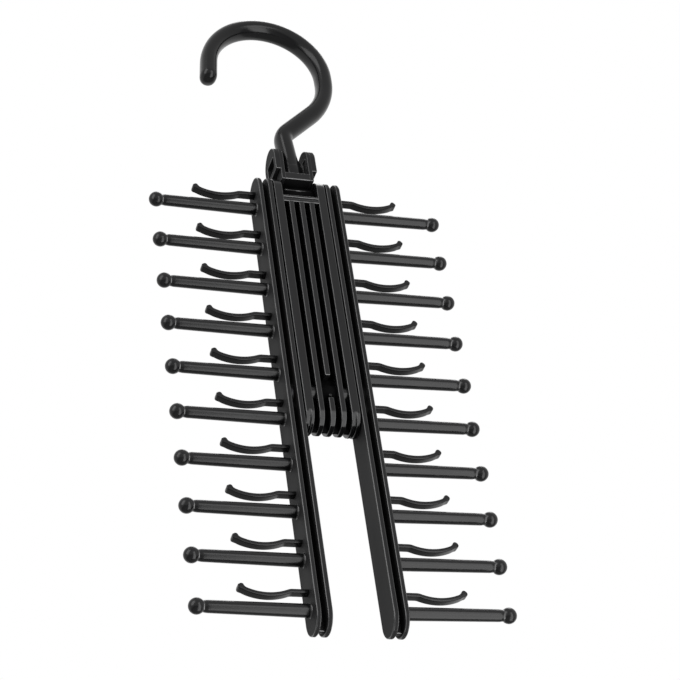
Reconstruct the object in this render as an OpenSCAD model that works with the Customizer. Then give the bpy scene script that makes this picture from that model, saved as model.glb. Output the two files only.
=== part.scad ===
// Tie hanger: a swivelling hook, a tilting spine and two pivoting arms with ten pegs each.
// Units are millimetres. +X is to the viewer's right, +Y to the back and +Z up.
// The origin is the rail seat: the inside top of the hook, straight above its swivel axis.

/* [Hook] */
// Inner radius of the crook
hook_inner_r = 27.7; // [18:0.1:40]
// Thickness of the hook's section in the plane of the crook
hook_thick = 9.2; // [6:0.1:12]
// Depth of the hook's section, front to back
hook_deep = 11.8; // [6:0.1:16]
// Distance of the crook's centre to the left of the swivel axis
crook_left = 5.9; // [0:0.1:12]
// Height of the crook's centre over the arms' pivot
crook_rise = 214.2; // [190:0.1:240]
// Angle by which the hook's tail leans outwards
tail_lean = 6; // [0:1:20]
// Length of the hook's straight tail
tail_len = 11.2; // [4:0.1:30]
// Radius of the ball that rounds the tail's end
tip_ball = 8; // [6.5:0.1:12]
// Straight drop between the crook and the lower bow
crook_drop = 3.2; // [0:0.1:10]
// Centreline radius of the lower bow
bow_r = 34; // [20:0.5:45]
// Slope of the diagonal below the bow
diag_slope = 44; // [30:1:60]
// Centreline radius of the bend above the neck
bend_r = 7; // [6:0.1:14]
// Angle by which the neck leans back to the swivel axis
neck_lean = 7.1; // [1:0.1:15]
// Radius of the round collar
collar_r = 6.1; // [5:0.05:6.2]
// Height of the collar
collar_h = 12.6; // [8:0.1:16]
// Radius of the swivel stem under the collar
stem_r = 3; // [2:0.05:4]
// Length of the swivel stem
stem_len = 6; // [4:0.1:7]
// Radius of the snap bead on the stem
bead_r = 3.5; // [3.2:0.05:4]
// Height of the snap bead
bead_h = 1.4; // [1:0.1:2]

/* [Hook holder] */
// Half the width of the holder's block
block_half_w = 8.65; // [8:0.05:9]
// Height of the block's underside over the arms' pivot
block_bottom = 132; // [131.8:0.1:134]
// Height of the floor between the ears
block_top = 137; // [136:0.1:140]
// Half the distance between the ears
ear_inner = 6.5; // [6.4:0.05:7]
// Half the width over the ears
ear_outer = 11.2; // [9:0.1:13]
// Height of the underside of the ears' outer step
ear_step = 138.7; // [138:0.1:142]
// Height of the centre of the ears' round tops
ear_centre = 147.8; // [144:0.1:152]
// Size of the chamfer round the ears
ear_chamfer = 1; // [0.3:0.1:1.5]
// Depth of the pocket in an ear's outer face
ear_pocket_deep = 1.9; // [0.5:0.1:2.5]
// Lower edge of the ear's pocket
ear_pocket_low = 142.5; // [140:0.1:145]
// Height of the ear's pocket
ear_pocket_h = 8; // [4:0.1:10]
// Depth of the shallow recess in an ear's inner face
ear_recess_deep = 0.6; // [0.2:0.1:1]
// Radius of the barrel round the tilt pin
barrel_r = 5; // [4:0.1:5.2]
// Half the length of the barrel
barrel_half = 9; // [8.5:0.05:9.1]

/* [Spine] */
// Half the width of the spine
spine_half_w = 13.8; // [12:0.1:16]
// Thickness of the spine's cheeks
cheek_t = 4.4; // [3:0.1:5]
// Radius of the rounded ends of spine and arms, half their depth
edge_r = 8.8; // [7:0.1:11]
// Height of the tilt pin over the arms' pivot
tilt_z = 126.4; // [120:0.1:132]
// Centre of the spine's round lower end below the arms' pivot
spine_low = 12.5; // [10:0.1:20]
// Spacing of the three ribs
rib_pitch = 5.5; // [4.5:0.1:6]
// Width of a rib
rib_w = 2.7; // [1.5:0.1:3]
// Thickness of the webs of spine and arms
web_t = 2.4; // [1.6:0.1:4]
// Lower edge of the crossbar
bar_low = 116.8; // [110:0.1:118]
// Upper edge of the crossbar
bar_high = 121; // [119:0.1:121]
// Width of the shallow groove in the crossbar's face
bar_groove_w = 1.1; // [0.5:0.1:1.5]
// Radius of the hubs round the pivot axle
hub_r = 7.6; // [5:0.1:8.4]
// Upper end of the pad that interrupts the middle rib
pad_high = 7.8; // [6:0.1:12]
// Lower end of the pad
pad_low = 5.3; // [5:0.1:10]
// Thickness of the pad's wall in front of the axle's bore
pad_wall = 1.4; // [0.8:0.1:4]
// Radius of the gate dimple in the pad
dimple_r = 2.4; // [1:0.1:3]
// Radius of the pip in the dimple
pip_r = 0.7; // [0.3:0.1:1]

/* [Arms] */
// Inner face of an arm
arm_inner = 14.5; // [14.2:0.05:16]
// Thickness of an arm's inner flange
inner_flange = 2.4; // [1.6:0.1:3]
// Width of an arm's open channel
channel_w = 3; // [2:0.1:5]
// Thickness of an arm's outer flange
outer_flange = 2.2; // [1.6:0.1:3]
// Centre of an arm's round lower end below its lowest peg
arm_low = 4; // [0:0.1:12]
// Centre of an arm's round upper end above its highest peg
arm_high = 9.4; // [5:0.1:20]
// Half height of the window in the web round the axle's end
axle_window = 7; // [5.5:0.1:9]

/* [Pegs and strips] */
// Vertical pitch of the pegs
peg_pitch = 26; // [22:0.5:32]
// Number of pegs on an arm, up to ten
peg_count = 10; // [4:2:10]
// Length of a peg from the arm to the centre of its ball
peg_len = 52.7; // [40:0.1:70]
// Radius of a peg at the arm
peg_root_r = 3.25; // [2.5:0.05:4]
// Radius of a peg at its ball
peg_end_r = 2.95; // [2.2:0.05:3.6]
// Radius of the ball
ball_r = 3.85; // [3.2:0.05:5]
// Step from a peg's rod down to the neck at its ball
neck_step = 0.2; // [0.1:0.05:0.5]
// Angle by which a peg rises
peg_rise = 0.77; // [0:0.01:3]
// Radius of the low ring at a peg's root
ring_r = 3.6; // [3.3:0.05:4.2]
// Length of that ring
ring_len = 0.7; // [0.3:0.1:1.5]
// Height of a strip's root over its peg's axis
strip_rise = 9; // [7.8:0.1:12]
// Thickness of a strip
strip_t = 2; // [1:0.1:3]
// Width of a strip, front to back
strip_w = 4.3; // [3:0.1:10]
// Length of a strip's straight root
strip_root = 7.8; // [4:0.1:12]
// Radius of a strip's shoulder
shoulder_r = 5; // [2:0.1:10]
// Radius of a strip's belly
belly_r = 26; // [15:0.5:40]
// Drop from a strip's root to its belly
belly_drop = 2.1; // [1:0.1:3]
// Angle at the end of the belly
belly_end = 22; // [10:1:30]
// Radius of a strip's turned-up end
tip_r = 9; // [4:0.5:20]
// Angle of a strip's end
tip_end = 42; // [30:1:60]
// Radius of the bead on a strip's end
tip_bead_r = 1.25; // [1.05:0.05:2]

/* [Pins and fits] */
// Radius of the tilt pin
tilt_pin_r = 2; // [1.5:0.05:2.5]
// Radius of the pivot axle
axle_r = 2.5; // [2:0.05:3]
// Radial clearance where a piece turns on a pin or stem
run_gap = 0.06; // [0.03:0.01:0.1]
// Radial clearance where a pin is held
hold_gap = 0.02; // [0.01:0.01:0.05]
// Distance of the tilt pin's ends inside the cheeks' faces
pin_inset = 0.3; // [0.3:0.05:1]
// Outer radius of a retaining ring
ret_r = 4.6; // [3.6:0.1:5]
// Thickness of a retaining ring
ret_t = 1; // [0.6:0.1:1.2]
// Depth of the axle's groove for the ring
ret_groove = 0.4; // [0.2:0.05:0.6]
// Width of the ring's mouth
ret_mouth = 3.4; // [2:0.1:3.8]
// Gap between the collar and the holder's floor
collar_gap = 0.35; // [0.3:0.05:0.6]

/* [Hidden] */
// Neighbouring lengths of the hook stop a hair short and are joined by a core just under the skin
hair = 0.005;
core_half = 0.6;
core_less = 0.08;
$fn = 48;
hook_r = hook_inner_r + hook_thick / 2;
seat_rise = crook_rise + sqrt(hook_inner_r * hook_inner_r - crook_left * crook_left);
pivot_z = -seat_rise;
tilt_h = pivot_z + tilt_z;
floor_z = pivot_z + block_top;
collar_z = floor_z + collar_gap;
crook_z = pivot_z + crook_rise;
bow_x = -crook_left + hook_r - bow_r;
bow_z = crook_z - crook_drop;
diag_x = bow_x + bow_r * sin(diag_slope);
diag_z = bow_z - bow_r * cos(diag_slope);
neck_z = collar_z + collar_h;
// The diagonal meets the neck's line at this distance along it
diag_run = (diag_x + tan(neck_lean) * (diag_z - neck_z)) / (cos(diag_slope) + tan(neck_lean) * sin(diag_slope));
corner_x = diag_x - diag_run * cos(diag_slope);
corner_z = diag_z - diag_run * sin(diag_slope);
bend_turn = 90 - diag_slope + neck_lean;
bend_cut = bend_r * tan(bend_turn / 2);
bend_x = corner_x + bend_cut * cos(diag_slope) + bend_r * sin(diag_slope);
bend_z = corner_z + bend_cut * sin(diag_slope) - bend_r * cos(diag_slope);
arm_outer = arm_inner + inner_flange + channel_w + outer_flange;
peg_row = (peg_count - 1) * peg_pitch;
channel_x = arm_inner + inner_flange;
ret_x = channel_x + 0.35;
axle_half = arm_outer - outer_flange - 0.5;
root_drop = peg_len * tan(peg_rise);
shoulder_turn = acos(1 - belly_drop / (shoulder_r + belly_r));
belly_x = strip_root + (shoulder_r + belly_r) * sin(shoulder_turn);

// Round-ended upright outline, drawn with Y across and Z up
module slot_face(low, high, r) {
  translate([-r, low]) square([2 * r, high - low]);
  translate([0, low]) circle(r);
  translate([0, high]) circle(r);
}

// Upright plate with round ends between two X positions
module plate(x0, x1, low, high, r) {
  translate([x0, 0, 0])
    rotate([90, 0, 90])
      linear_extrude(x1 - x0) slot_face(low, high, r);
}

// Round bar along X
module bar_x(x0, x1, r) {
  translate([x0, 0, 0]) rotate([0, 90, 0]) cylinder(h = x1 - x0, r = r);
}

// Sweep of a section round a centre in the XZ plane
module bow(x, z, r, from, to) {
  translate([x, 0, z])
    rotate([90, 0, 0])
      rotate([0, 0, from])
        rotate_extrude(angle = to - from) translate([r, 0]) children();
}

// Section of the hook, smaller all round by the given margin
module hook_section(less = 0) {
  side = hook_deep / 2 - hook_thick / 2;
  translate([0, side]) circle(hook_thick / 2 - less);
  translate([0, -side]) circle(hook_thick / 2 - less);
  translate([less - hook_thick / 2, -side]) square([hook_thick - 2 * less, 2 * side]);
}

// Straight length of the hook from a point, turned from straight up towards +X
module hook_straight(x, z, turn, len, less = 0) {
  translate([x, 0, z]) rotate([0, turn, 0]) linear_extrude(len) hook_section(less);
}

// Straight length between two bows, a hair short of both
module hook_link(x, z, turn, len) {
  hook_straight(x + hair * sin(turn), z + hair * cos(turn), turn, len - 2 * hair);
}

// Core that joins two neighbouring lengths at their common point
module hook_core(x, z, turn) {
  hook_straight(x - core_half * sin(turn), z - core_half * cos(turn), turn, 2 * core_half, core_less);
}

module hook() {
  tail_x = -crook_left - hook_r * cos(tail_lean);
  tail_z = crook_z + hook_r * sin(tail_lean);
  tip_run = tail_len + hook_thick / 2 - tip_ball;
  neck_x = bend_x - bend_r * cos(neck_lean);
  neck_top = bend_z - bend_r * sin(neck_lean);
  color([0.05, 0.05, 0.055]) union() {
    bow(-crook_left, crook_z, hook_r, 0, 180 - tail_lean) hook_section();
    hook_core(tail_x, tail_z, 180 + tail_lean);
    intersection() {
      hook_link(tail_x, tail_z, 180 + tail_lean, tail_len + hook_thick);
      translate([tail_x - tip_run * sin(tail_lean), 0, tail_z - tip_run * cos(tail_lean)])
        cylinder_ball();
    }
    hook_core(-crook_left + hook_r, crook_z, 180);
    hook_link(-crook_left + hook_r, crook_z, 180, crook_drop);
    hook_core(-crook_left + hook_r, bow_z, 180);
    bow(bow_x, bow_z, bow_r, diag_slope - 90, 0) hook_section();
    hook_core(diag_x, diag_z, 270 - diag_slope);
    hook_link(diag_x, diag_z, 270 - diag_slope, diag_run - bend_cut);
    hook_core(diag_x - (diag_run - bend_cut) * cos(diag_slope),
      diag_z - (diag_run - bend_cut) * sin(diag_slope), 270 - diag_slope);
    bow(bend_x, bend_z, bend_r, 90 + diag_slope, 180 + neck_lean) hook_section();
    hook_core(neck_x, neck_top, 180 - neck_lean);
    hook_link(neck_x, neck_top, 180 - neck_lean, (neck_top - neck_z + 2) / cos(neck_lean));
    intersection() {
      translate([0, 0, collar_z]) cylinder(h = collar_h, r = collar_r);
      translate([0, 0, collar_z]) sphere(collar_h);
    }
    translate([0, 0, collar_z - stem_len]) cylinder(h = stem_len + 1, r = stem_r);
    translate([0, 0, collar_z - stem_len + 0.8]) cylinder(h = bead_h, r = bead_r);
  }
}

// Large ball that rounds the tail's end, long enough upwards to leave the rest of the tail alone
module cylinder_ball() {
  sphere(tip_ball);
  rotate([0, tail_lean, 0]) cylinder(h = tail_len + 6, r = tip_ball);
}

module ear() {
  plate(ear_inner, block_half_w, pivot_z + block_bottom + edge_r, pivot_z + ear_centre, edge_r);
  translate([ear_inner, -edge_r, pivot_z + block_bottom])
    cube([block_half_w - ear_inner, 2 * edge_r, ear_step - block_bottom]);
  difference() {
    union() {
      step_w = ear_outer - ear_chamfer - ear_inner;
      translate([ear_inner, -edge_r, pivot_z + ear_step]) cube([step_w, 2 * edge_r, ear_centre - ear_step]);
      translate([0, 0, pivot_z + ear_centre]) bar_x(ear_inner, ear_outer - ear_chamfer, edge_r);
      translate([ear_outer - ear_chamfer, 0, pivot_z + ear_centre])
        rotate([0, 90, 0]) cylinder(h = ear_chamfer, r1 = edge_r, r2 = edge_r - ear_chamfer);
      translate([0, 0, pivot_z + ear_step])
        linear_extrude(ear_centre - ear_step)
          polygon([
            [ear_outer - ear_chamfer, -edge_r],
            [ear_outer, ear_chamfer - edge_r],
            [ear_outer, edge_r - ear_chamfer],
            [ear_outer - ear_chamfer, edge_r]
          ]);
    }
    translate([ear_outer - ear_pocket_deep, -6, pivot_z + ear_pocket_low])
      cube([ear_pocket_deep + 1, 12.8, ear_pocket_h]);
  }
}

module hook_holder() {
  color([0.06, 0.06, 0.065]) difference() {
    union() {
      translate([-block_half_w, -edge_r, pivot_z + block_bottom])
        cube([2 * block_half_w, 2 * edge_r, block_top - block_bottom]);
      ear();
      mirror([1, 0, 0]) ear();
      translate([0, 0, tilt_h]) bar_x(-barrel_half, barrel_half, barrel_r);
      translate([-block_half_w, -barrel_r, tilt_h])
        cube([2 * block_half_w, 2 * barrel_r, block_bottom - tilt_z + 1]);
    }
    translate([0, 0, tilt_h]) bar_x(-barrel_half - 1, barrel_half + 1, tilt_pin_r + run_gap);
    translate([0, 0, collar_z - stem_len - 0.3]) cylinder(h = stem_len + 4, r = stem_r + run_gap);
    translate([0, 0, collar_z - stem_len + 0.5]) cylinder(h = bead_h + 0.6, r = bead_r + run_gap);
    for (side = [-1, 1])
      for (half = [-1, 1])
        translate([side * ear_inner - ear_recess_deep, half * 3.6 - 2.4, pivot_z + 141])
          cube([2 * ear_recess_deep, 4.8, 9]);
  }
}

module tilt_pin() {
  half = spine_half_w - pin_inset;
  color([0.62, 0.63, 0.65]) difference() {
    translate([0, 0, tilt_h]) bar_x(-half, half, tilt_pin_r);
    for (side = [-1, 1])
      translate([side * half, 0, tilt_h]) rotate([0, -90 * side, 0])
        translate([0, 0, -0.01]) cylinder(h = 0.5, r1 = 0.6, r2 = 0.1);
  }
}

module spine_cheek() {
  inner = spine_half_w - cheek_t;
  low = pivot_z - spine_low;
  difference() {
    plate(inner, spine_half_w, low, tilt_h, edge_r);
    // Shallow groove that splits the cheek's rounded foot into plate and rib
    difference() {
      translate([inner + 1.75, 0, low]) bar_x(0, 0.7, edge_r + 1);
      translate([inner + 1.7, 0, low]) bar_x(0, 0.8, edge_r - 0.9);
      translate([inner + 1.6, -edge_r - 2, low + 2.5]) cube([1, 2 * edge_r + 4, edge_r + 2]);
    }
  }
}

// Everything of the spine between two heights
module zone(from, to) {
  translate([-spine_half_w, -2 * edge_r, from]) cube([2 * spine_half_w, 4 * edge_r, to - from]);
}

module spine() {
  inner = spine_half_w - cheek_t;
  pad_half = axle_r + pad_wall;
  low = pivot_z - spine_low;
  bar_mid = pivot_z + (bar_low + bar_high) / 2 + 0.2;
  color([0.055, 0.055, 0.06]) difference() {
    union() {
      spine_cheek();
      mirror([1, 0, 0]) spine_cheek();
      for (i = [-1, 1])
        intersection() {
          plate(i * rib_pitch - rib_w / 2, i * rib_pitch + rib_w / 2, low + 0.5, tilt_h, edge_r);
          zone(low - 2 * edge_r, pivot_z + bar_low + 1);
        }
      intersection() {
        plate(-rib_w / 2, rib_w / 2, low + 0.5, tilt_h, edge_r);
        union() {
          zone(pivot_z + pad_high, pivot_z + bar_low + 1);
          zone(low - 2 * edge_r, pivot_z - pad_low);
        }
      }
      translate([-rib_pitch, -pad_half, pivot_z - pad_low])
        cube([2 * rib_pitch, 2 * pad_half, pad_high + pad_low]);
      intersection() {
        translate([-inner - 1, -web_t / 2, low - edge_r])
          cube([2 * inner + 2, web_t, pivot_z + bar_low + 1 - low + edge_r]);
        plate(-inner - 1, inner + 1, low, tilt_h, edge_r - 1.3);
      }
      translate([-inner - 1, -edge_r, pivot_z + bar_low])
        cube([2 * inner + 2, 2 * edge_r, bar_high - bar_low]);
      for (side = [-1, 1])
        translate([side * (inner + rib_pitch) / 2, 0, pivot_z])
          bar_x(-(inner - rib_pitch) / 2 - 0.5, (inner - rib_pitch) / 2 + 0.5, hub_r);
    }
    translate([0, 0, tilt_h]) bar_x(-spine_half_w - 1, spine_half_w + 1, tilt_pin_r + hold_gap);
    translate([0, 0, pivot_z]) bar_x(-spine_half_w - 1, spine_half_w + 1, axle_r + hold_gap);
    translate([-inner + 0.6, -edge_r - 1, bar_mid - bar_groove_w / 2])
      cube([2 * inner - 1.2, 1.4, bar_groove_w]);
    // Gate dimple with its pip left standing
    difference() {
      translate([0, -pad_half - 0.1, pivot_z - 1.5]) rotate([-90, 0, 0]) cylinder(h = 0.5, r = dimple_r);
      translate([0, -pad_half - 1, pivot_z - 2.4]) rotate([-90, 0, 0]) cylinder(h = 2, r = pip_r);
    }
  }
}

module pivot_axle() {
  color([0.62, 0.63, 0.65]) difference() {
    translate([0, 0, pivot_z]) bar_x(-axle_half, axle_half, axle_r);
    for (side = [-1, 1])
      translate([side * (ret_x + ret_t / 2), 0, pivot_z])
        difference() {
          bar_x(-ret_t / 2 - 0.05, ret_t / 2 + 0.05, axle_r + 1);
          bar_x(-ret_t / 2 - 1, ret_t / 2 + 1, axle_r - ret_groove);
        }
  }
}

module ring(side) {
  color([0.5, 0.51, 0.53]) translate([side * (ret_x + ret_t / 2), 0, pivot_z]) difference() {
    bar_x(-ret_t / 2, ret_t / 2, ret_r);
    bar_x(-ret_t, ret_t, axle_r - ret_groove + hold_gap);
    translate([-ret_t, -ret_mouth / 2, -ret_r - 1]) cube([2 * ret_t, ret_mouth, ret_r + 1]);
  }
}

module arm_right() {
  low = pivot_z - peg_row / 2 - arm_low;
  high = pivot_z + peg_row / 2 + arm_high;
  color([0.055, 0.055, 0.06]) difference() {
    union() {
      plate(arm_inner, channel_x, low, high, edge_r);
      plate(channel_x + channel_w, arm_outer, low, high, edge_r);
      difference() {
        translate([channel_x - 1, -web_t / 2, low - edge_r + 1.3])
          cube([channel_w + 2, web_t, high - low + 2 * edge_r - 2.6]);
        translate([channel_x, -web_t, pivot_z - axle_window]) cube([channel_w, 2 * web_t, 2 * axle_window]);
      }
    }
    translate([0, 0, pivot_z]) bar_x(arm_inner - 1, channel_x + 0.5, axle_r + run_gap);
  }
}

module arm_left() {
  mirror([1, 0, 0]) arm_right();
}

// Half outline of a peg, its axis upright
module peg_outline() {
  neck = peg_len - ball_r - 0.5;
  polygon([
    [0, -1],
    [ring_r, -1],
    [ring_r, ring_len - 0.3],
    [ring_r - 0.3, ring_len],
    [peg_root_r, ring_len],
    [peg_end_r, neck],
    [peg_end_r - neck_step, neck + 0.4],
    [peg_end_r - neck_step, peg_len],
    [0, peg_len]
  ]);
}

// One peg on the right, counted from the top
module peg(i) {
  z = pivot_z + peg_row / 2 - (i - 1) * peg_pitch;
  color([0.06, 0.06, 0.065]) difference() {
    translate([arm_outer, 0, z - root_drop]) rotate([0, 90 - peg_rise, 0]) {
      rotate_extrude() peg_outline();
      translate([0, 0, peg_len]) sphere(ball_r);
    }
    translate([arm_outer - 2 * ring_r, -2 * ring_r, z - root_drop - 2 * ring_r])
      cube([2 * ring_r, 4 * ring_r, 4 * ring_r]);
  }
}

// Points of an arc in the plane of a strip
function arc_pts(x, z, r, from, to, steps) =
  [for (k = [0:steps]) let(a = from + (to - from) * k / steps) [x + r * cos(a), z + r * sin(a)]];

// Side outline of a strip, its root on the left
module strip_outline() {
  half = strip_t / 2;
  low = -belly_drop + belly_r;
  turn_x = belly_x + (belly_r - tip_r) * sin(belly_end);
  turn_z = low - (belly_r - tip_r) * cos(belly_end);
  polygon(concat(
    [[0, half]],
    arc_pts(strip_root, -shoulder_r, shoulder_r + half, 90, 90 - shoulder_turn, 5),
    arc_pts(belly_x, low, belly_r - half, 270 - shoulder_turn, 270 + belly_end, 12),
    arc_pts(turn_x, turn_z, tip_r - half, 270 + belly_end + 3, 270 + tip_end, 5),
    arc_pts(turn_x, turn_z, tip_r + half, 270 + tip_end, 270 + belly_end + 3, 5),
    arc_pts(belly_x, low, belly_r + half, 270 + belly_end, 270 - shoulder_turn, 12),
    arc_pts(strip_root, -shoulder_r, shoulder_r - half, 90 - shoulder_turn, 90, 5),
    [[0, -half]]
  ));
}

// One strip on the right, over the peg of the same number
module strip(i) {
  z = pivot_z + peg_row / 2 - (i - 1) * peg_pitch - root_drop + strip_rise;
  tip_x = belly_x + (belly_r - tip_r) * sin(belly_end) + tip_r * sin(tip_end);
  tip_z = -belly_drop + belly_r - (belly_r - tip_r) * cos(belly_end) - tip_r * cos(tip_end);
  color([0.06, 0.06, 0.065]) translate([arm_outer, strip_w / 2, z])
    rotate([90, 0, 0]) {
      linear_extrude(strip_w) strip_outline();
      translate([tip_x, tip_z, 0]) cylinder(h = strip_w, r = tip_bead_r);
    }
}

module left_peg(i) {
  mirror([1, 0, 0]) peg(i);
}

module left_strip(i) {
  mirror([1, 0, 0]) strip(i);
}

hook();
hook_holder();
tilt_pin();
spine();
pivot_axle();
ring(-1);  // ring_left
ring(1);  // ring_right
arm_left();
arm_right();
left_peg(1);  // peg_left_1
left_peg(2);  // peg_left_2
left_peg(3);  // peg_left_3
left_peg(4);  // peg_left_4
left_peg(5);  // peg_left_5
left_peg(6);  // peg_left_6
left_peg(7);  // peg_left_7
left_peg(8);  // peg_left_8
left_peg(9);  // peg_left_9
left_peg(10);  // peg_left_10
peg(1);  // peg_right_1
peg(2);  // peg_right_2
peg(3);  // peg_right_3
peg(4);  // peg_right_4
peg(5);  // peg_right_5
peg(6);  // peg_right_6
peg(7);  // peg_right_7
peg(8);  // peg_right_8
peg(9);  // peg_right_9
peg(10);  // peg_right_10
left_strip(1);  // strip_left_1
left_strip(2);  // strip_left_2
left_strip(3);  // strip_left_3
left_strip(4);  // strip_left_4
left_strip(5);  // strip_left_5
left_strip(6);  // strip_left_6
left_strip(7);  // strip_left_7
left_strip(8);  // strip_left_8
left_strip(9);  // strip_left_9
left_strip(10);  // strip_left_10
strip(1);  // strip_right_1
strip(2);  // strip_right_2
strip(3);  // strip_right_3
strip(4);  // strip_right_4
strip(5);  // strip_right_5
strip(6);  // strip_right_6
strip(7);  // strip_right_7
strip(8);  // strip_right_8
strip(9);  // strip_right_9
strip(10);  // strip_right_10
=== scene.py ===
"""Looks of a tie hanger: smooth sweeps, filleted mouldings, black gloss plastic and steel pins.

Lengths in this file are millimetres in the row frame until a mesh is made, which is in metres.
+X is to the right, +Y to the back and +Z up; the origin is the rail seat inside the hook.
"""

import math

import bpy
import numpy as np
from mathutils import Matrix


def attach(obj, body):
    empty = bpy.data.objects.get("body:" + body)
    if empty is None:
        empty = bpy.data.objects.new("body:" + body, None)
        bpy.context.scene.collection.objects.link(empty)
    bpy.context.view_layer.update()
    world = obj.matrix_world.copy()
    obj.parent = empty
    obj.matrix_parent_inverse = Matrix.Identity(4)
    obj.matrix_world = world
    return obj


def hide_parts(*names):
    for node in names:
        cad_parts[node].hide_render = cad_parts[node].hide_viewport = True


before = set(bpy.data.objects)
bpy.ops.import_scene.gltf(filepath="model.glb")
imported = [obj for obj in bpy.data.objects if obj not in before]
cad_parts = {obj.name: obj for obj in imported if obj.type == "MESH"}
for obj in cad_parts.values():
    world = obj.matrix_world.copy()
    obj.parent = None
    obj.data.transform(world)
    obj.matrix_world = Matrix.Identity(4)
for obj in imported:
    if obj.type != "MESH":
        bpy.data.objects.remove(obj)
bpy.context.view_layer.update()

# Measures shared with the CAD source, in millimetres: the hook's inner radius, its section across and
# front to back, the crook's centre beside and over the axle, and the heights of the two joints
HOOK_IN = 27.7
HOOK_T, HOOK_D = 9.2, 11.8
CROOK_LEFT, CROOK_RISE = 5.9, 214.2
PIVOT_Z = -(CROOK_RISE + math.sqrt(HOOK_IN**2 - CROOK_LEFT**2))
TILT_Z = PIVOT_Z + 126.4
# Radius of the round ends, which is half the depth, and the pegs' pitch
EDGE_R = 8.8
PITCH = 26.0
# Inner and outer face of an arm, then a peg's length and rise
ARM_IN, ARM_OUT = 14.5, 22.1
PEG_LEN, PEG_RISE = 52.7, math.radians(0.77)
ROOT_DROP = PEG_LEN * math.tan(PEG_RISE)


# Meshes from arrays


def finish_mesh(name, verts, loops, counts):
    """Object from vertices (n, 3) in millimetres and a flat list of corners split by counts."""
    me = bpy.data.meshes.new(name)
    verts = np.asarray(verts, float) * 0.001
    loops = np.asarray(loops, np.int32)
    counts = np.asarray(counts, np.int32)
    me.vertices.add(len(verts))
    me.vertices.foreach_set("co", verts.astype(np.float32).ravel())
    me.loops.add(len(loops))
    me.loops.foreach_set("vertex_index", loops)
    me.polygons.add(len(counts))
    me.polygons.foreach_set("loop_start", (np.cumsum(counts) - counts).astype(np.int32))
    me.polygons.foreach_set("loop_total", counts)
    me.update(calc_edges=True)
    me.validate()
    me.polygons.foreach_set("use_smooth", np.ones(len(me.polygons), bool))
    ob = bpy.data.objects.new(name, me)
    bpy.context.scene.collection.objects.link(ob)
    return ob


def tube_faces(n, m, start=0):
    """Corners of the quads between n rings of m points, with an end face on the first and last ring."""
    i, j = np.meshgrid(np.arange(n - 1), np.arange(m), indexing="ij")
    k = (j + 1) % m
    quads = np.stack([i * m + j, i * m + k, (i + 1) * m + k, (i + 1) * m + j], -1).reshape(-1)
    first = np.arange(m)[::-1]
    last = (n - 1) * m + np.arange(m)
    loops = np.concatenate([quads, first, last]) + start
    counts = np.concatenate([np.full((n - 1) * m, 4), [m, m]])
    return loops, counts


def join(parts):
    """Several grids of rings (n, m, 3) as one list of vertices, corners and counts."""
    verts, loops, counts, start = [], [], [], 0
    for rings in parts:
        n, m, _ = rings.shape
        corners, sizes = tube_faces(n, m, start)
        verts.append(rings.reshape(-1, 3))
        loops.append(corners)
        counts.append(sizes)
        start += n * m
    return np.concatenate(verts), np.concatenate(loops), np.concatenate(counts)


def outward(rings):
    """The same rings, turned so that the faces look outwards: the solid's signed volume is positive."""
    n, m, _ = rings.shape
    verts, loops, _ = join([rings])
    verts = verts - verts.mean(0)
    a, b, c, d = (verts[loops[: (n - 1) * m * 4].reshape(-1, 4)[:, t]] for t in range(4))
    volume = (np.cross(b - a, c - a) * a).sum() + (np.cross(c - a, d - a) * a).sum()
    for face in (loops[-2 * m : -m], loops[-m:]):
        ring = verts[face]
        mid = ring.mean(0)
        volume += (np.cross(ring - mid, np.roll(ring, -1, 0) - mid) * mid).sum()
    return rings if volume > 0 else rings[:, ::-1]


def face_centres(ob):
    """Middles of the faces, (n, 3) in millimetres."""
    mid = np.empty(len(ob.data.polygons) * 3, np.float32)
    ob.data.polygons.foreach_get("center", mid)
    return mid.reshape(-1, 3) * 1000


def paint(ob, index, where):
    """Material slot index on the faces where the test holds, and slot 0 on the others."""
    ob.data.polygons.foreach_set("material_index", np.where(where, index, 0).astype(np.int32))


def make(name, parts, body, nodes, mat, bevel=0.0, highlight=None, bands=(), mirror=False):
    """A piece from ring grids that rides on a body and stands for CAD nodes.

    bevel: fillet radius in millimetres on edges sharper than 35 degrees; highlight: the material that paints
    a highlight, a brighter gloss, on the fillets and on faces whose distance from the plane x = 0 lies in one
    of bands; mirror: flips X.
    """
    flip = [-1 if mirror else 1, 1, 1]
    ob = finish_mesh(name, *join([outward(rings * flip) for rings in parts]))
    if bevel:
        mod = ob.modifiers.new("fillet", "BEVEL")
        mod.width = bevel * 0.001
        mod.segments = 3
        mod.limit_method = "ANGLE"
        mod.angle_limit = math.radians(35)
        mod.harden_normals = True
        mod.use_clamp_overlap = True
        # The fillets take the painted-highlight material when one is given
        mod.material = 1 if highlight else -1
    ob.data.materials.append(mat)
    if highlight:
        ob.data.materials.append(highlight)
    if bands:
        x = np.abs(face_centres(ob)[:, 0])
        paint(ob, 1, np.any([(x > a) & (x < b) for a, b in bands], axis=0))
    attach(ob, body)
    if nodes:
        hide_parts(*nodes)
    return ob


# Forms


def arc(cx, cz, r, a0, a1, n):
    """n + 1 points (x, z) on a circle about (cx, cz), from angle a0 to a1 in degrees."""
    a = np.radians(np.linspace(a0, a1, n + 1))
    return np.stack([cx + r * np.cos(a), cz + r * np.sin(a)], -1)


def resample(path, step):
    """The same polyline with points at equal arc length s_k = k L / n."""
    d = np.r_[0, np.cumsum(np.linalg.norm(np.diff(path, axis=0), axis=1))]
    n = max(2, int(round(d[-1] / step)))
    s = np.linspace(0, d[-1], n + 1)
    return np.stack([np.interp(s, d, path[:, 0]), np.interp(s, d, path[:, 1])], -1), s


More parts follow.
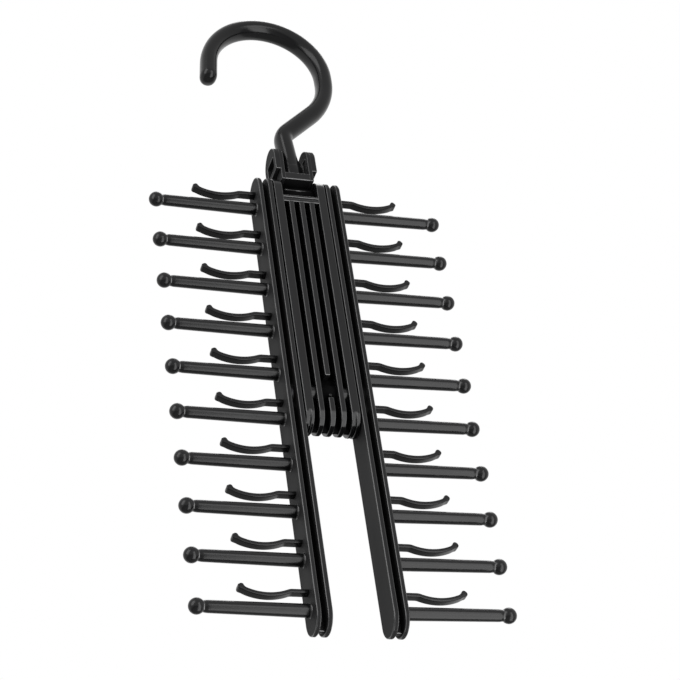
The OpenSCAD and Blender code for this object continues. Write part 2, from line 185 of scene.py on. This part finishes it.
def sweep(path, half_in, half_deep, section):
    """Section swept along a path in the XZ plane.

    P(s, u, w) = C(s) + h(s) u N(s) + d(s) w Y, with N the in-plane normal and h, d the half sizes.
    section: (m, 2) points (u, w) of the unit outline; half_in, half_deep: h and d at each station.
    """
    t = np.gradient(path, axis=0)
    t /= np.linalg.norm(t, axis=1)[:, None]
    nx, nz = -t[:, 1], t[:, 0]
    u, w = section[:, 0], section[:, 1]
    x = path[:, 0, None] + half_in[:, None] * u * nx[:, None]
    z = path[:, 1, None] + half_in[:, None] * u * nz[:, None]
    y = half_deep[:, None] * w + 0 * x
    return np.stack([x, y, z], -1)


def oval(m, power=2.2):
    """Unit superellipse |u|^p + |w|^p = 1 as (m, 2) points."""
    a = np.linspace(0, 2 * np.pi, m, endpoint=False)
    c, s = np.cos(a), np.sin(a)
    return np.stack([np.sign(c) * np.abs(c) ** (2 / power), np.sign(s) * np.abs(s) ** (2 / power)], -1)


def lathe(x, r, m=48):
    """Rings of radius r(x) about the X axis, (n, m, 3)."""
    a = np.linspace(0, 2 * np.pi, m, endpoint=False)
    x, r = np.asarray(x, float), np.maximum(np.asarray(r, float), 0.02)
    return np.stack([x[:, None] + 0 * a, r[:, None] * np.cos(a), r[:, None] * np.sin(a)], -1)


def along_z(rings, z0=0.0):
    """Rings about X turned to stand about Z, x becoming z - z0."""
    return np.stack([rings[..., 1], rings[..., 2], rings[..., 0] + z0], -1)


def stadium(low, high, r, m=28):
    """Round-ended upright outline in YZ: half circles of radius r about z = low and z = high."""
    return np.concatenate([arc(0, high, r, 0, 180, m), arc(0, low, r, 180, 360, m)])


def slab(outline, x0, x1):
    """Outline in YZ as two rings at x0 and x1."""
    one = np.stack([np.full(len(outline), x0), outline[:, 0], outline[:, 1]], -1)
    two = one.copy()
    two[:, 0] = x1
    return np.stack([one, two])


def block(x0, x1, y0, y1, z0, z1):
    """Block as two rings of four corners, for a bevelled moulding."""
    return slab(np.array([[y0, z0], [y1, z0], [y1, z1], [y0, z1]]), x0, x1)


def rod(x0, x1, r, y=0.0, z=0.0, m=48):
    """Round bar along X."""
    return lathe([x0, x1], [r, r], m) + np.array([0, y, z])


# Materials


def shade(name):
    """Empty node material with its Principled shader and tree."""
    mat = bpy.data.materials.new(name)
    mat.use_nodes = True
    tree = mat.node_tree
    return mat, tree, tree.nodes["Principled BSDF"]


def noise(tree, scale, detail=3.0, stretch=(1, 1, 1)):
    """Noise over Object coordinates, with its own stretch."""
    co = tree.nodes.new("ShaderNodeTexCoord")
    mp = tree.nodes.new("ShaderNodeMapping")
    mp.inputs["Scale"].default_value = stretch
    nz = tree.nodes.new("ShaderNodeTexNoise")
    nz.inputs["Scale"].default_value = scale
    nz.inputs["Detail"].default_value = detail
    tree.links.new(co.outputs["Object"], mp.inputs["Vector"])
    tree.links.new(mp.outputs["Vector"], nz.inputs["Vector"])
    return nz.outputs["Fac"]


def spread(tree, fac, low, high):
    """Value between low and high as fac goes from 0.3 to 0.7."""
    mr = tree.nodes.new("ShaderNodeMapRange")
    mr.inputs["From Min"].default_value = 0.3
    mr.inputs["From Max"].default_value = 0.7
    mr.inputs["To Min"].default_value = low
    mr.inputs["To Max"].default_value = high
    tree.links.new(fac, mr.inputs["Value"])
    return mr.outputs["Result"]


def bump(tree, bsdf, fac, height):
    """Fine relief of the given height in metres."""
    bp = tree.nodes.new("ShaderNodeBump")
    bp.inputs["Strength"].default_value = 1.0
    bp.inputs["Distance"].default_value = height
    tree.links.new(fac, bp.inputs["Height"])
    tree.links.new(bp.outputs["Normal"], bsdf.inputs["Normal"])


# Sizes of the plastic's flow marks and skin, as noise scales per metre, and the skin's height in metres
FLOW, FLOW_LONG, SKIN, SKIN_HIGH = 55, (1, 1, 0.25), 900, 0.000004
FLOW_GLOSS = 0.035


def plastic(name, rough, gloss, colour):
    """Black moulded plastic: faint flow marks in the gloss and a very fine skin."""
    mat, tree, bsdf = shade(name)
    bsdf.inputs["Base Color"].default_value = (*colour, 1)
    bsdf.inputs["IOR"].default_value = 1.49
    bsdf.inputs["Specular IOR Level"].default_value = gloss
    flow = noise(tree, FLOW, 4, FLOW_LONG)
    tree.links.new(spread(tree, flow, rough - FLOW_GLOSS, rough + FLOW_GLOSS), bsdf.inputs["Roughness"])
    bump(tree, bsdf, noise(tree, SKIN, 2), SKIN_HIGH)
    return mat


def steel(name, tint, rough):
    """Drawn steel: fine streaks along X in the gloss and the relief."""
    mat, tree, bsdf = shade(name)
    bsdf.inputs["Base Color"].default_value = (*tint, 1)
    bsdf.inputs["Metallic"].default_value = 1.0
    streak = noise(tree, 900, 3, (0.06, 1, 1))
    tree.links.new(spread(tree, streak, rough - 0.06, rough + 0.08), bsdf.inputs["Roughness"])
    bump(tree, bsdf, streak, 0.000008)
    return mat


INK = (0.005, 0.005, 0.0053)
BLACK = plastic("black_gloss_plastic", 0.22, 0.25, INK)
SATIN = plastic("black_satin_plastic", 0.72, 0.22, INK)
# Painted shade: a darker black with almost no gloss, for the channels' floor, the pad, the hub, the barrel
# and undersides
PAINTED_SHADE = plastic("black_painted_shade", 0.85, 0.05, (0.002, 0.002, 0.0021))
# Painted highlight: the same black with its gloss level raised to 0.80, for bright lines on fillets, peg
# bands and the barrel's seam
PAINTED_HIGHLIGHT = plastic("black_painted_highlight", 0.22, 0.80, INK)
HOOK_BLACK = plastic("black_hook_plastic", 0.20, 0.22, INK)
PIN = steel("blackened_steel_pin", (0.12, 0.12, 0.125), 0.36)
SPRING = steel("blackened_spring_steel", (0.09, 0.09, 0.095), 0.42)

# CAD nodes that keep their own form
for node, mat in (
    ("tilt_pin", PIN),
    ("pivot_axle", PIN),
    ("ring_left", SPRING),
    ("ring_right", SPRING),
):
    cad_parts[node].data.materials.clear()
    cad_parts[node].data.materials.append(mat)


# Hook: one smooth sweep from the tail's tip to the collar

TAIL_LEAN, TAIL_LEN = 6.0, 10.2
BOW_DROP, BOW_R = 3.2, 34.0
# The diagonal's slope, the bend's radius under it and the lean of the neck
SLOPE = 44.0
BEND_R = 7.0
NECK_LEAN = math.radians(7.1)
# The collar's lower rim and height, its ball, and how far the foot of the neck reaches down into it
COLLAR_Z, COLLAR_H = PIVOT_Z + 137.35, 12.6
COLLAR_R, COLLAR_FOOT_R = 6.15, 5.7
FOOT_DEEP = 6.2
FLARE, FLARE_FROM, FLARE_RUN = 0.9, 3.6, 1.6


def hook_rings():
    """Sweep along tail, crook, bow, diagonal, bend and neck, then the collar's flare.

    The centreline is the CAD's with a tail 1 mm shorter: arcs of radius 32.3, 34 and 7 between straights.
    Tip: half sizes scale with sqrt(1 - (1 - s/R)^2) over the last R = 4.6 mm.
    Foot: the half width grows by 0.9 exp(-d / 1.6) where the neck runs into the collar.
    """
    r = HOOK_IN + HOOK_T / 2
    cz = PIVOT_Z + CROOK_RISE
    bow_x, bow_z = -CROOK_LEFT + r - BOW_R, cz - BOW_DROP
    slope, lean = math.radians(SLOPE), math.radians(TAIL_LEAN)
    along = np.array([math.cos(slope), math.sin(slope)])
    # The diagonal starts at the bow's end and meets the leaning neck's line at the knee
    start = np.array([bow_x + BOW_R * along[1], bow_z - BOW_R * along[0]])
    neck_z = COLLAR_Z + COLLAR_H
    tan_neck = math.tan(NECK_LEAN)
    run = (start[0] + tan_neck * (start[1] - neck_z)) / (along[0] + tan_neck * along[1])
    knee = start - run * along
    cut = BEND_R * math.tan((math.pi / 2 - slope + NECK_LEAN) / 2)
    bend = knee + cut * along + BEND_R * np.array([along[1], -along[0]])
    tail = arc(-CROOK_LEFT, cz, r, 180 - TAIL_LEAN, 0, 120)
    tip = tail[0] - (TAIL_LEN + HOOK_T / 2) * np.array([math.sin(lean), math.cos(lean)])
    bow = arc(bow_x, bow_z, BOW_R, 0, SLOPE - 90, 60)
    turn = arc(bend[0], bend[1], BEND_R, 90 + SLOPE, 180 + math.degrees(NECK_LEAN), 24)
    foot = np.array([[0.0, neck_z - FOOT_DEEP]])
    path, s = resample(np.concatenate([[tip], tail, bow, turn, foot]), 0.9)
    # Soften the joins between straights and arcs a little
    for _ in range(3):
        path[1:-1] = 0.25 * path[:-2] + 0.5 * path[1:-1] + 0.25 * path[2:]
    near = np.clip(s / (HOOK_T / 2), 0, 1)
    size = np.sqrt(np.clip(1 - (1 - near) ** 2, 0.0004, 1))
    flare = FLARE * np.exp(-np.clip(s[-1] - FLARE_FROM - s, 0, None) / FLARE_RUN)
    return sweep(path, size * HOOK_T / 2 + flare, size * HOOK_D / 2 + 0.1 * flare, oval(56))


def collar_rings():
    """Collar: a ball of radius 6.15 over a foot that swells from 5.7 as 0.45 sin, and a rounded lower rim."""
    half = COLLAR_H / 2 - 0.05
    rim = np.radians(np.linspace(0, 90, 7))
    rim_x, rim_r = 0.4 - 0.4 * np.cos(rim), 5.3 + 0.4 * np.sin(rim)
    foot_x = np.linspace(0.6, half, 12)
    foot_r = COLLAR_FOOT_R + (COLLAR_R - COLLAR_FOOT_R) * np.sin(np.pi / 2 * foot_x / half)
    ball = np.radians(np.linspace(4, 88, 24))
    x = np.r_[0, rim_x + 0.01, foot_x, half + COLLAR_R * np.sin(ball)]
    r = np.r_[2.0, rim_r, foot_r, COLLAR_R * np.cos(ball)]
    return along_z(lathe(x, r, 64), COLLAR_Z)


def stem_rings():
    """Swivel stem with its snap bead, from inside the holder's block up into the collar."""
    x = [0, 0.3, 0.6, 0.8, 1.1, 1.5, 1.8, 2.0, 5.2]
    r = [2.5, 2.9, 3.0, 3.4, 3.5, 3.5, 3.3, 3.0, 3.0]
    return along_z(lathe(x, r, 48), COLLAR_Z - 4.75)


hook_parts = [hook_rings(), collar_rings(), stem_rings()]
make("hook_moulding", hook_parts, "hook", ["hook"], HOOK_BLACK)


# Arms: two round-ended flanges and a web between them

# Thickness of the inner and outer flange, and the depth of the lower round end's centre under the axle
FLANGE_IN, FLANGE_OUT = 2.4, 2.2
ARM_FOOT = 121.0
# Half height of the window at the axle, and half the web's thickness
WINDOW = 7.0
WEB = 1.2
# A web reaches this far into its neighbours, and stops this far inside a round end
LAP, WEB_END = 0.2, 1.3


def arm_parts():
    """Right arm: flanges 2.4 and 2.2 thick, 3 mm channel, web 2.4 with a window at the axle."""
    low, high = PIVOT_Z - ARM_FOOT, TILT_Z
    rail = stadium(low, high, EDGE_R)
    c0, c1 = ARM_IN + FLANGE_IN - LAP, ARM_OUT - FLANGE_OUT + LAP
    return [
        slab(rail, ARM_IN, ARM_IN + FLANGE_IN),
        slab(rail, ARM_OUT - FLANGE_OUT, ARM_OUT),
        block(c0, c1, -WEB, WEB, PIVOT_Z + WINDOW, high + EDGE_R - WEB_END),
        block(c0, c1, -WEB, WEB, low - EDGE_R + WEB_END, PIVOT_Z - WINDOW),
    ]


for side in ("left", "right"):
    make("arm_moulding_" + side, arm_parts(), "arm_" + side, ["arm_" + side], SATIN,
         bevel=0.45, highlight=PAINTED_HIGHLIGHT, mirror=side == "left")


# Pegs: turned outline with a root fillet, a draft taper, a neck and a ball

# Radii of the tapered rod at its ends, and the root's fillet; then where the pieces of the outline meet
PEG_ROOT_R, PEG_END_R = 3.24, 2.95
FILLET_R, FILLET_LONG, FILLET_HIGH = 3.55, 0.9, 0.35
ROD_FROM, ROD_TO, NECK_FROM = 2.0, 47.6, 48.2
NECK_TOP_R, NECK_DROP, NECK_R, BALL_R = 2.92, 0.2, 2.78, 3.85
# Distances from the middle at which the root's fillet and the join of neck and ball get a painted highlight
PEG_HIGHLIGHTS = ((22, 23.0), (71.5, 72.4))


def peg_parts(i):
    """Peg i from the top: r(x) by pieces, tilted up by 0.77 degrees about its root."""
    turn = np.radians(np.linspace(0, 90, 7))
    fillet_x = FILLET_LONG * (1 - np.cos(turn))
    fillet_r = FILLET_R - FILLET_HIGH * np.sin(turn)
    rod_x = np.linspace(ROD_FROM, ROD_TO, 24)
    rod_r = PEG_ROOT_R + (PEG_END_R - PEG_ROOT_R) * (rod_x - 1) / 47
    a = np.radians(np.linspace(-133, 90, 30))
    ball_x, ball_r = PEG_LEN + BALL_R * np.sin(a), BALL_R * np.cos(a)
    keep = (ball_r > NECK_R) | (ball_x > PEG_LEN)
    ball_x, ball_r = ball_x[keep], ball_r[keep]
    neck_x = np.linspace(NECK_FROM, ball_x[0] - 0.25, 5)
    neck_r = NECK_TOP_R - NECK_DROP * np.sin(np.linspace(0, np.pi / 2, 5))
    x = np.r_[0, fillet_x + 0.02, rod_x, neck_x, ball_x]
    r = np.r_[3.4, fillet_r, rod_r, neck_r, ball_r]
    rings = lathe(x, r, 40)
    c, s = math.cos(PEG_RISE), math.sin(PEG_RISE)
    px = np.maximum(ARM_OUT + rings[..., 0] * c - rings[..., 2] * s, ARM_OUT)
    pz = root_z(i) + rings[..., 0] * s + rings[..., 2] * c
    return [np.stack([px, rings[..., 1], pz], -1)]


def root_z(i):
    """Height of the root of peg i, counted from the top."""
    return PIVOT_Z + (5.5 - i) * PITCH - ROOT_DROP


# Strips: rounded flat section along shoulder, belly and turned-up end

# A strip's height over its peg, its straight root and its three arcs; the belly's drop, the angles in
# degrees at which belly and tip end, and the straight run behind the tip's arc
STRIP_RISE = 9.0
STRIP_ROOT, SHOULDER_R = 7.8, 5.0
BELLY_R, BELLY_DROP, BELLY_END = 26.0, 2.1, 22.0
TIP_R, TIP_END, TIP_RUN = 9.0, 42.0, 2.0
# Half sizes of the section, the length over which the end is rounded, and the bead behind it
STRIP_HALF, STRIP_WIDE = 1.0, 2.15
TIP_ROUND = 1.2
BEAD, BEAD_AT, BEAD_RUN = 0.60, 1.5, 1.1


def strip_parts(i):
    """Strip i: the CAD's centreline of arcs 5, 26 and 9 mm with its end 0.75 mm on, section 2.0 x 4.3.

    The end swells into a bead, d mm from the tip: h(d) = 1.0 + 0.60 exp(-((d - 1.5) / 1.1)^2).
    """
    drop = math.degrees(math.acos(1 - BELLY_DROP / (SHOULDER_R + BELLY_R)))
    belly_x = STRIP_ROOT + (SHOULDER_R + BELLY_R) * math.sin(math.radians(drop))
    belly_z = BELLY_R - BELLY_DROP
    tip_x = belly_x + (BELLY_R - TIP_R) * math.sin(math.radians(BELLY_END))
    tip_z = belly_z - (BELLY_R - TIP_R) * math.cos(math.radians(BELLY_END))
    shoulder = arc(STRIP_ROOT, -SHOULDER_R, SHOULDER_R, 90, 90 - drop, 10)
    belly = arc(belly_x, belly_z, BELLY_R, 270 - drop, 270 + BELLY_END, 30)
    last = arc(tip_x, tip_z, TIP_R, 270 + BELLY_END, 270 + TIP_END, 10)
    end = np.array([math.cos(math.radians(TIP_END)), math.sin(math.radians(TIP_END))])
    path = np.concatenate([[[0, 0]], shoulder, belly[1:], last[1:], [last[-1] + TIP_RUN * end]])
    path, s = resample(path, 0.45)
    left = s[-1] - s
    near = (1 - np.clip(left / TIP_ROUND, 0, 1)) ** 2
    size = np.sqrt(np.clip(1 - near, 0.0009, 1))
    h = (STRIP_HALF + BEAD * np.exp(-(((left - BEAD_AT) / BEAD_RUN) ** 2))) * size
    w = STRIP_WIDE * np.sqrt(np.clip(1 - near * 0.5, 0.0009, 1))
    rings = sweep(path, h, w, oval(32, 9.0))
    return [rings + np.array([ARM_OUT, 0, root_z(i) + STRIP_RISE])]


for side in ("left", "right"):
    flip = side == "left"
    for i in range(1, 11):
        tag = f"{side}_{i}"
        make("peg_moulding_" + tag, peg_parts(i), "arm_" + side, ["peg_" + tag], BLACK,
             highlight=PAINTED_HIGHLIGHT, bands=PEG_HIGHLIGHTS, mirror=flip)
        make("strip_moulding_" + tag, strip_parts(i), "strip_" + tag, ["strip_" + tag], BLACK,
             mirror=flip)


# Spine: cheeks, ribs, web, crossbar, hubs and pad

# Centre of the lower round ends; then the faces of cheeks, of their split feet and of ribs, from the middle
SPINE_LOW = PIVOT_Z - 12.5
CHEEK_IN, CHEEK_OUT = 9.4, 13.8
PLATE_IN, LIP_OUT = 11.85, 11.15
RIB_IN, RIB_OUT, MID_RIB = 4.15, 6.85, 1.35
RIB_TOP = PIVOT_Z + 117.2
PAD_LOW, PAD_HIGH = PIVOT_Z - 5.3, PIVOT_Z + 7.8
PAD_HALF, PAD_FACE = 5.0, 3.9
# Crossbar, web and bosses end this far from the middle, inside the cheeks
INSIDE = 9.8
BAR_LOW, BAR_HIGH = PIVOT_Z + 116.8, PIVOT_Z + 121
GROOVE_Z, GROOVE = PIVOT_Z + 119.1, 0.55
# Faces of the feet under this height get the painted shade, so the spine is darker at the bottom
SHADE_UNDER = PIVOT_Z - 19.4


def spine_parts():
    """Mouldings of the spine; each is a filleted slab or block that runs into its neighbours."""
    out = []
    for s in (-1, 1):
        # The cheek's foot is split by a shallow groove into a plate and a lip
        cheek = slab(groove_foot(SPINE_LOW, TILT_Z, EDGE_R, 0.9), CHEEK_IN, CHEEK_OUT)
        plate = slab(stadium(SPINE_LOW, TILT_Z - 12, EDGE_R - 0.01), PLATE_IN, CHEEK_OUT - 0.01)
        lip = slab(stadium(SPINE_LOW + 0.15, TILT_Z - 12, EDGE_R - 0.01), CHEEK_IN + 0.01, LIP_OUT)
        rib = slab(clip_top(stadium(SPINE_LOW + 0.5, TILT_Z, EDGE_R), RIB_TOP), RIB_IN, RIB_OUT)
        bosses = [rod(6.4, INSIDE, 4.2, y, PIVOT_Z - 0.6) for y in (-3.2, 3.2)]
        out += [part * [s, 1, 1] for part in (cheek, plate, lip, rib, *bosses)]
    foot = clip_top(stadium(SPINE_LOW + 0.5, TILT_Z, EDGE_R), PAD_LOW)
    out.append(slab(foot, -MID_RIB, MID_RIB))
    out.append(block(-MID_RIB, MID_RIB, -EDGE_R, EDGE_R, PAD_HIGH, RIB_TOP))
    pip = lathe([0, 4.3, 4.55, 4.65], [0.95, 0.9, 0.6, 0.1], 20)
    out.append(np.stack([pip[..., 1], -3.8 - pip[..., 0], pip[..., 2] + PIVOT_Z - 3.6], -1))
    # The crossbar: a bar that lies 0.5 mm deeper shows as the groove between two others
    out.append(block(-INSIDE, INSIDE, 0.5 - EDGE_R, EDGE_R, RIB_TOP, BAR_HIGH - 0.4))
    out.append(block(-INSIDE, INSIDE, -EDGE_R, EDGE_R - 0.1, BAR_LOW, GROOVE_Z - GROOVE))
    out.append(block(-INSIDE, INSIDE, -EDGE_R, EDGE_R - 0.1, GROOVE_Z + GROOVE, BAR_HIGH))
    return out


def spine_floor_parts():
    """Web between the cheeks, which is the channels' floor, the pad about the axle and its hub, all made in
    painted shade.
    """
    return [
        block(-INSIDE, INSIDE, -WEB, WEB, PIVOT_Z - 20.0, RIB_TOP),
        block(-PAD_HALF, PAD_HALF, -PAD_FACE, PAD_FACE, PAD_LOW, PAD_HIGH),
        rod(0.2 - INSIDE, INSIDE - 0.2, 6.2, 0, PIVOT_Z),
    ]


def groove_foot(low, high, r, deep):
    """Stadium whose lower half circle shrinks to r - deep: r(a) = r - deep S(a), S rising over 30 degrees."""
    a = np.linspace(180, 360, 41)
    t = np.clip(np.minimum(a - 180, 360 - a) / 30, 0, 1)
    rr = r - deep * t * t * (3 - 2 * t)
    foot = np.stack([rr * np.cos(np.radians(a)), low + rr * np.sin(np.radians(a))], -1)
    return np.concatenate([arc(0, high, r, 0, 180, 28), foot])


def clip_top(outline, top):
    """Outline with everything over z = top pressed down to it."""
    o = outline.copy()
    o[:, 1] = np.minimum(o[:, 1], top)
    keep = np.ones(len(o), bool)
    flat = o[:, 1] >= top - 1e-9
    keep[1:-1] = ~(flat[1:-1] & flat[:-2] & flat[2:])
    return o[keep]


spine = make("spine_moulding", spine_parts(), "spine", ["spine"], BLACK,
             bevel=0.4, highlight=PAINTED_HIGHLIGHT)
# Painted shade on the faces of the feet under that height
spine.data.materials.append(PAINTED_SHADE)
paint(spine, 2, face_centres(spine)[:, 2] < SHADE_UNDER)
make("spine_floor", spine_floor_parts(), "spine", ["spine"], PAINTED_SHADE)


# Hook holder: block, barrel and two ears with rounded rims

BLOCK_Z, STEP_Z, EAR_Z = PIVOT_Z + 132.0, PIVOT_Z + 138.7, PIVOT_Z + 147.8
EAR_IN, EAR_MID, EAR_OUT = 6.5, 7.4, 11.2
BLOCK_HALF, BARREL_HALF, BARREL_R = 7.2, 9.0, 5.0


def pocketed(outline, centre, half, x_back, x_face, x_floor):
    """Plate in YZ with a rounded pocket in its face: rings at the back, face, pocket's mouth and floor.

    The pocket's rim lies at the outline's own angles about centre, on |u / a|^p + |w / b|^p = 1 with p = 9.
    """
    power = 9
    d = outline - centre
    turn = np.arctan2(d[:, 1], d[:, 0])
    across, up = np.abs(np.cos(turn)) / half[0], np.abs(np.sin(turn)) / half[1]
    far = (across**power + up**power) ** (-1 / power)
    mouth = centre + far[:, None] * np.stack([np.cos(turn), np.sin(turn)], -1)
    rings = [(x_back, outline), (x_face, outline), (x_face, mouth), (x_floor, mouth)]
    return np.stack([np.column_stack([np.full(len(o), x), o]) for x, o in rings])


def ear_outline(foot, r):
    """Half circle of radius r over two upright sides that end at z = foot, points about 1 mm apart."""
    up = np.linspace(foot, EAR_Z, 14)[:-1]
    across = np.linspace(-r, r, 23)[1:-1]
    return np.concatenate([
        arc(0, EAR_Z, r, 0, 180, 40),
        np.column_stack([np.full(13, -r), up[::-1]]),
        np.column_stack([across, np.full(21, foot)]),
        np.column_stack([np.full(13, r), up]),
    ])


def ear_parts():
    """Two ears, each of a tall plate with a recess inside and a stepped plate with a pocket outside."""
    recess, pocket = (0, PIVOT_Z + 145.2), (-0.4, PIVOT_Z + 144.9)
    tall = pocketed(ear_outline(BLOCK_Z, EDGE_R), recess, (6.0, 4.4), 8.65, EAR_IN, 7.1)
    step = pocketed(ear_outline(STEP_Z, EDGE_R - 0.02), pocket, (5.3, 3.7), EAR_MID, EAR_OUT, 7.65)
    web = block(EAR_IN + 0.08, EAR_MID, -WEB, WEB, PIVOT_Z + 140, PIVOT_Z + 150.5)
    return [part * [s, 1, 1] for s in (-1, 1) for part in (tall, step, web)]


def block_parts():
    """Block between the ears."""
    inset = EDGE_R - 0.05
    return [block(-BLOCK_HALF, BLOCK_HALF, -inset, inset, BLOCK_Z + 0.05, BLOCK_Z + 4.6)]


def web_parts():
    """Barrel and web about the tilt pin, and the block's underside, all made in painted shade."""
    return [
        rod(-BARREL_HALF, BARREL_HALF, BARREL_R, 0, TILT_Z),
        block(-8.5, 8.5, -2.2, 2.2, TILT_Z, BLOCK_Z + 1),
        block(-8.6, 8.6, 0.6 - EDGE_R, EDGE_R - 0.6, BLOCK_Z + 0.02, BLOCK_Z + 1),
    ]


def seam_parts():
    """Raised seam along the barrel's front, 0.35 mm proud, made in the painted-highlight material as a bright
    line.
    """
    return [rod(-8.4, 8.4, 0.4, 0.05 - BARREL_R, TILT_Z + 0.9, 16)]


make("holder_ears", ear_parts(), "holder", ["hook_holder"], SATIN,
     bevel=0.5, highlight=PAINTED_HIGHLIGHT)
make("holder_block", block_parts(), "holder", ["hook_holder"], BLACK,
     bevel=0.5, highlight=PAINTED_HIGHLIGHT)
make("holder_web", web_parts(), "holder", ["hook_holder"], PAINTED_SHADE)
make("holder_seam_highlight", seam_parts(), "holder", ["hook_holder"], PAINTED_HIGHLIGHT)


# Floor

HALF_FLOOR, FLOOR_Z = 3.0, -1.7
corners = [(-1, -1), (1, -1), (1, 1), (-1, 1)]
floor_mesh = bpy.data.meshes.new("floor")
floor_mesh.from_pydata([(HALF_FLOOR * x, HALF_FLOOR * y, FLOOR_Z) for x, y in corners], [], [(0, 1, 2, 3)])
floor = bpy.data.objects.new("floor", floor_mesh)
bpy.context.scene.collection.objects.link(floor)
pale, _, pale_shader = shade("pale_floor")
pale_shader.inputs["Base Color"].default_value = (0.8, 0.8, 0.8, 1)
pale_shader.inputs["Roughness"].default_value = 0.9
floor_mesh.materials.append(pale)


# Light, background and camera

# The photograph's view: the camera's place in metres; the angles in degrees by which it stands right of
# the front, stands above it and is rolled; and its focal length in picture widths
CAMERA = np.array([-0.30357, -0.77351, -0.79237])
TURN, LIFT, ROLL = -22.2364, -35.0966, -8.9538
FOCAL = 3.015
# The middle of the hanger, at which the lamps point
CENTRE = np.array([0.0, 0.0, -0.24])


def view_axes(turn, lift, roll):
    """Right, up and backward directions of a camera that looks at the front, turned, lifted and rolled."""
    turn, lift, roll = np.radians([turn, lift, roll])
    back = np.array([math.cos(lift) * math.sin(turn), -math.cos(lift) * math.cos(turn), math.sin(lift)])
    level = np.array([math.cos(turn), math.sin(turn), 0.0])
    upright = np.cross(back, level)
    right = math.cos(roll) * level + math.sin(roll) * upright
    return right, np.cross(back, right), back


RIGHT, UP, BACK = view_axes(TURN, LIFT, ROLL)


def placed(ob, place, x, y, z):
    """Object at place, in metres, with the three given axes."""
    m = np.eye(4)
    m[:3, 0], m[:3, 1], m[:3, 2], m[:3, 3] = x, y, z, place
    ob.matrix_world = Matrix(m.tolist())


def softbox(name, toward, far, wide, tall, level):
    """Soft box far metres off in a direction, of wide by tall metres, as bright as level times white.

    An area lamp of P watts and area A shows a radiance of P / (pi A).
    """
    data = bpy.data.lights.new(name, "AREA")
    data.shape = "RECTANGLE"
    data.size, data.size_y = wide, tall
    data.energy = level * math.pi * wide * tall
    ob = bpy.data.objects.new(name, data)
    bpy.context.scene.collection.objects.link(ob)
    z = np.array(toward) / np.linalg.norm(toward)
    x = np.cross(UP, z)
    x /= np.linalg.norm(x)
    placed(ob, CENTRE + far * z, x, np.cross(z, x), z)
    ob.visible_camera = False


softbox("front_box", (0.36, -0.93, -0.05), 1.30, 0.58, 0.90, 3.4)
softbox("low_box", (0.42, -0.43, -0.80), 1.00, 0.64, 1.40, 4.2)
softbox("left_box", (-0.80, -0.47, 0.30), 1.20, 0.72, 1.30, 3.6)
softbox("top_box", (0.31, 0.18, 0.93), 1.30, 0.60, 0.60, 3.0)


def white_studio(diffuse):
    """World that is white to camera, glossy and transmission rays and lights the rest with diffuse."""
    world = bpy.data.worlds.new("studio")
    bpy.context.scene.world = world
    world.use_nodes = True
    tree = world.node_tree
    tree.nodes.clear()
    path = tree.nodes.new("ShaderNodeLightPath")
    seen = path.outputs["Is Camera Ray"]
    for ray in ("Is Glossy Ray", "Is Transmission Ray"):
        either = tree.nodes.new("ShaderNodeMath")
        either.operation = "MAXIMUM"
        tree.links.new(seen, either.inputs[0])
        tree.links.new(path.outputs[ray], either.inputs[1])
        seen = either.outputs[0]
    mixer = tree.nodes.new("ShaderNodeMixShader")
    tree.links.new(seen, mixer.inputs["Fac"])
    for slot, strength in ((1, diffuse), (2, 1.0)):
        sky = tree.nodes.new("ShaderNodeBackground")
        sky.inputs["Color"].default_value = (1, 1, 1, 1)
        sky.inputs["Strength"].default_value = strength
        tree.links.new(sky.outputs[0], mixer.inputs[slot])
    out = tree.nodes.new("ShaderNodeOutputWorld")
    tree.links.new(mixer.outputs[0], out.inputs["Surface"])


white_studio(0.4)
bpy.context.scene.view_settings.view_transform = "Standard"

cam_data = bpy.data.cameras.new("camera")
cam = bpy.data.objects.new("camera", cam_data)
bpy.context.scene.collection.objects.link(cam)
cam_data.sensor_width = 36.0
cam_data.lens = 36.0 * FOCAL
cam_data.clip_start, cam_data.clip_end = 0.05, 20
placed(cam, CAMERA, RIGHT, UP, BACK)
bpy.context.scene.camera = cam
